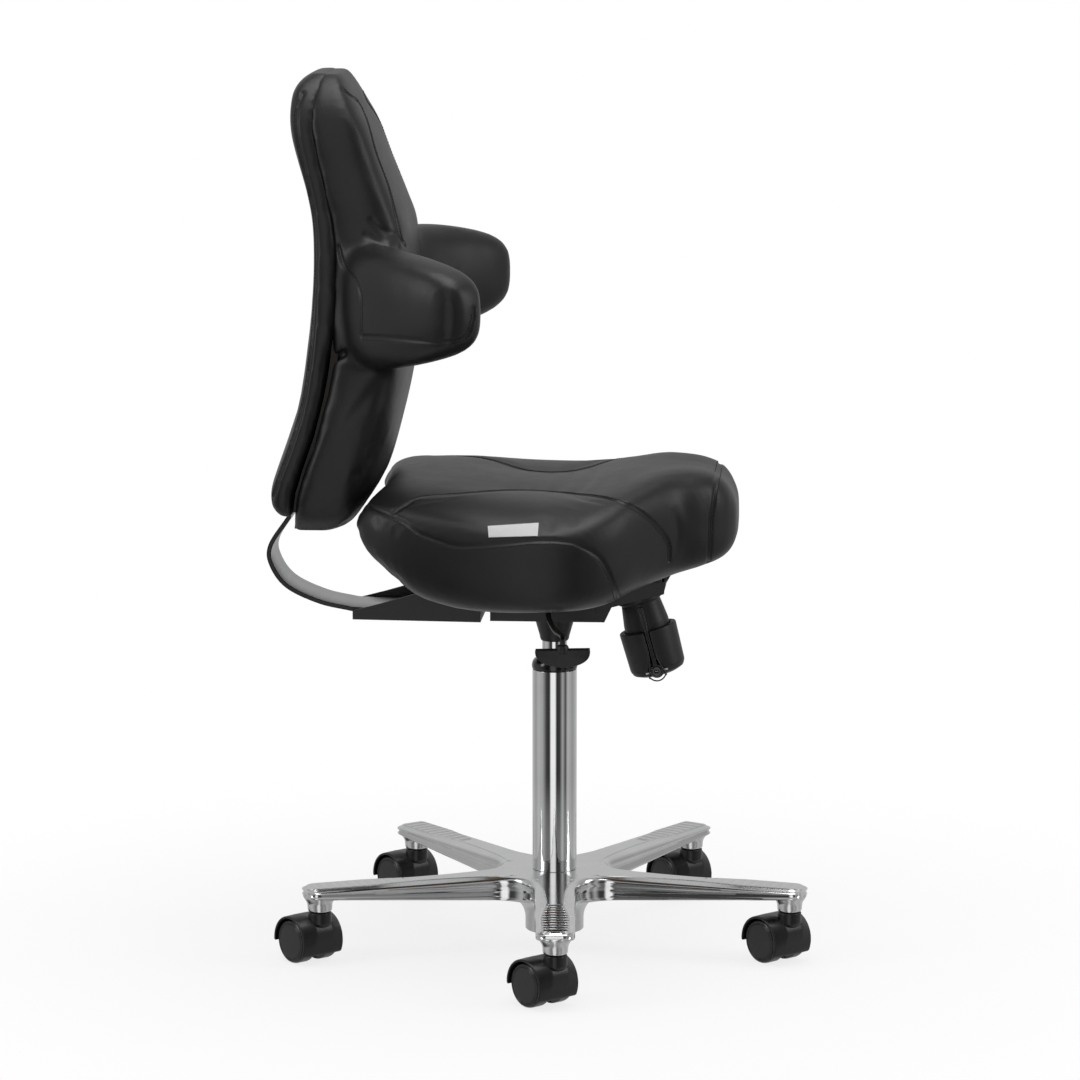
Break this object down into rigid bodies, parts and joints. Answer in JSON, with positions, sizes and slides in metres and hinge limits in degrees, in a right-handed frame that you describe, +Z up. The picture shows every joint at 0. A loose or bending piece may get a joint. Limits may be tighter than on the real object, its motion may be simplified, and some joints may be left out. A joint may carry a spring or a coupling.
{
  "type": "saddle seat swivel chair",
  "caption": "Height-adjustable swivel work chair with a contoured saddle seat, a T-shaped winged back on a curved steel bar, a tension knob and a polished star base on twin-wheel casters.",
  "frame": {"origin": "on the floor, under the middle of the chair's box", "axes": "+X the way the sitter faces, +Y the sitter's left, +Z up"},
  "size_m": [0.615, 0.592, 0.996],
  "materials": {
    "polished_aluminium": "polished on the sides, finely brushed on top",
    "chrome": "mirror polished",
    "steel": "zinc plated",
    "bar_steel": "satin grey face with black edges",
    "black_steel": "semi-gloss black powder coat",
    "black_plastic": "gloss",
    "knob_plastic": "fine matte grain",
    "caster_nylon": "satin nylon",
    "rubber": "matte",
    "black_leather": "semi-gloss fine-grained synthetic leather",
    "plywood": "raw moulded plywood"
  },
  "bodies": {
    "base": {"base_star": "polished_aluminium", "column_tube": "chrome", "column_collar": "black_plastic", "guide_bush": "black_plastic", "thrust_bearing": "steel"},
    "spindle": {"piston_rod": "chrome", "rod_clip": "steel", "bump_stop": "rubber"},
    "column_top": {"gas_cylinder": "chrome", "mechanism_housing": "black_steel", "tilt_axle": "steel", "knob_sleeve": "black_plastic", "tension_spring": "steel"},
    "release_pin": {"release_pin": "steel"},
    "lever": {"lever_rod": "black_steel", "lever_paddle": "knob_plastic"},
    "seat": {"tilt_frame": "black_steel", "cross_pin": "steel", "back_channel": "black_steel", "back_bar": "bar_steel", "bar_bolt": "steel", "seat_pan": "plywood", "seat_cushion": "black_leather", "seat_bolt_1": "steel", "seat_bolt_2": "steel", "seat_bolt_3": "steel", "seat_bolt_4": "steel"},
    "screw": {"eye_bolt": "steel"},
    "knob": {"tension_knob": "knob_plastic", "spring_nut": "steel", "crank_pin": "steel"},
    "crank": {"crank_arm": "knob_plastic"},
    "back": {"back_rear_cushion": "black_leather", "back_board": "plywood", "back_front_cushion": "black_leather"},
    "caster_1": {"caster_1_hood": "caster_nylon", "caster_1_stem": "steel", "caster_1_axle": "steel"},
    "caster_1_left": {"caster_1_wheel_left": "caster_nylon"},
    "caster_1_right": {"caster_1_wheel_right": "caster_nylon"},
    "caster_2": {"caster_2_hood": "caster_nylon", "caster_2_stem": "steel", "caster_2_axle": "steel"},
    "caster_2_left": {"caster_2_wheel_left": "caster_nylon"},
    "caster_2_right": {"caster_2_wheel_right": "caster_nylon"},
    "caster_3": {"caster_3_hood": "caster_nylon", "caster_3_stem": "steel", "caster_3_axle": "steel"},
    "caster_3_left": {"caster_3_wheel_left": "caster_nylon"},
    "caster_3_right": {"caster_3_wheel_right": "caster_nylon"},
    "caster_4": {"caster_4_hood": "caster_nylon", "caster_4_stem": "steel", "caster_4_axle": "steel"},
    "caster_4_left": {"caster_4_wheel_left": "caster_nylon"},
    "caster_4_right": {"caster_4_wheel_right": "caster_nylon"},
    "caster_5": {"caster_5_hood": "caster_nylon", "caster_5_stem": "steel", "caster_5_axle": "steel"},
    "caster_5_left": {"caster_5_wheel_left": "caster_nylon"},
    "caster_5_right": {"caster_5_wheel_right": "caster_nylon"}
  },
  "joints": [
    {"name": "caster_1_swivel", "type": "hinge", "parent": "base", "child": "caster_1", "pos_m": [0.03275, -0.27083, 0.06], "axis": [0, 0, 1], "continuous": true},
    {"name": "caster_1_left_spin", "type": "hinge", "parent": "caster_1", "child": "caster_1_left", "pos_m": [0.01775, -0.25474, 0.025], "axis": [0.7314, 0.682, 0], "continuous": true},
    {"name": "caster_1_right_spin", "type": "hinge", "parent": "caster_1", "child": "caster_1_right", "pos_m": [0.01775, -0.25474, 0.025], "axis": [0.7314, 0.682, 0], "continuous": true},
    {"name": "caster_2_swivel", "type": "hinge", "parent": "base", "child": "caster_2", "pos_m": [0.2813, -0.06227, 0.06], "axis": [0, 0, 1], "continuous": true},
    {"name": "caster_2_left_spin", "type": "hinge", "parent": "caster_2", "child": "caster_2_left", "pos_m": [0.2663, -0.04618, 0.025], "axis": [0.7314, 0.682, 0], "continuous": true},
    {"name": "caster_2_right_spin", "type": "hinge", "parent": "caster_2", "child": "caster_2_right", "pos_m": [0.2663, -0.04618, 0.025], "axis": [0.7314, 0.682, 0], "continuous": true},
    {"name": "caster_3_swivel", "type": "hinge", "parent": "base", "child": "caster_3", "pos_m": [0.15976, 0.23856, 0.06], "axis": [0, 0, 1], "continuous": true},
    {"name": "caster_3_left_spin", "type": "hinge", "parent": "caster_3", "child": "caster_3_left", "pos_m": [0.14475, 0.25465, 0.025], "axis": [0.7314, 0.682, 0], "continuous": true},
    {"name": "caster_3_right_spin", "type": "hinge", "parent": "caster_3", "child": "caster_3_right", "pos_m": [0.14475, 0.25465, 0.025], "axis": [0.7314, 0.682, 0], "continuous": true},
    {"name": "caster_4_swivel", "type": "hinge", "parent": "base", "child": "caster_4", "pos_m": [-0.16391, 0.21593, 0.06], "axis": [0, 0, 1], "continuous": true},
    {"name": "caster_4_left_spin", "type": "hinge", "parent": "caster_4", "child": "caster_4_left", "pos_m": [-0.17891, 0.23202, 0.025], "axis": [0.7314, 0.682, 0], "continuous": true},
    {"name": "caster_4_right_spin", "type": "hinge", "parent": "caster_4", "child": "caster_4_right", "pos_m": [-0.17891, 0.23202, 0.025], "axis": [0.7314, 0.682, 0], "continuous": true},
    {"name": "caster_5_swivel", "type": "hinge", "parent": "base", "child": "caster_5", "pos_m": [-0.2424, -0.09889, 0.06], "axis": [0, 0, 1], "continuous": true},
    {"name": "caster_5_left_spin", "type": "hinge", "parent": "caster_5", "child": "caster_5_left", "pos_m": [-0.25741, -0.0828, 0.025], "axis": [0.7314, 0.682, 0], "continuous": true},
    {"name": "caster_5_right_spin", "type": "hinge", "parent": "caster_5", "child": "caster_5_right", "pos_m": [-0.25741, -0.0828, 0.025], "axis": [0.7314, 0.682, 0], "continuous": true},
    {"name": "seat_swivel", "type": "hinge", "parent": "base", "child": "spindle", "pos_m": [0.0135, 0.0045, 0.03], "axis": [0, 0, 1], "continuous": true},
    {"name": "seat_lift", "type": "slide", "parent": "spindle", "child": "column_top", "axis": [0, 0, 1], "range_m": [0, 0.13]},
    {"name": "height_lever", "type": "hinge", "parent": "column_top", "child": "lever", "pos_m": [0.0095, -0.0335, 0.4068], "axis": [-1, 0, 0], "range_deg": [0, 4.5], "stiffness_Nm_per_rad": 1.2, "springref_deg": -14.32},
    {"name": "release_pin_press", "type": "slide", "parent": "column_top", "child": "release_pin", "axis": [0, 0, -1], "range_m": [0, 0.003]},
    {"name": "seat_tilt", "type": "hinge", "parent": "column_top", "child": "seat", "pos_m": [0.0485, 0.0045, 0.404], "axis": [0, -1, 0], "range_deg": [0, 7], "stiffness_Nm_per_rad": 60, "springref_deg": -28.65},
    {"name": "screw_draw", "type": "slide", "parent": "column_top", "child": "screw", "axis": [-0.2588, 0, 0.9659], "range_m": [0, 0.0072], "deforming": ["tension_spring"]},
    {"name": "tension_knob_turn", "type": "hinge", "parent": "screw", "child": "knob", "pos_m": [0.118, 0.0045, 0.369], "axis": [-0.2588, 0, 0.9659], "range_deg": [-360, 360]},
    {"name": "crank_fold", "type": "hinge", "parent": "knob", "child": "crank", "pos_m": [0.13004, -0.0235, 0.32408], "axis": [0.9659, 0, 0.2588], "range_deg": [0, 90]},
    {"name": "back_height", "type": "slide", "parent": "seat", "child": "back", "axis": [0.1908, 0, 0.9816], "range_m": [0, 0.06]}
  ],
  "couplings": [
    {"joint": "release_pin_press", "follows": "height_lever", "m_per_rad": 0.038},
    {"joint": "screw_draw", "follows": "seat_tilt", "m_per_rad": 0.0579}
  ]
}
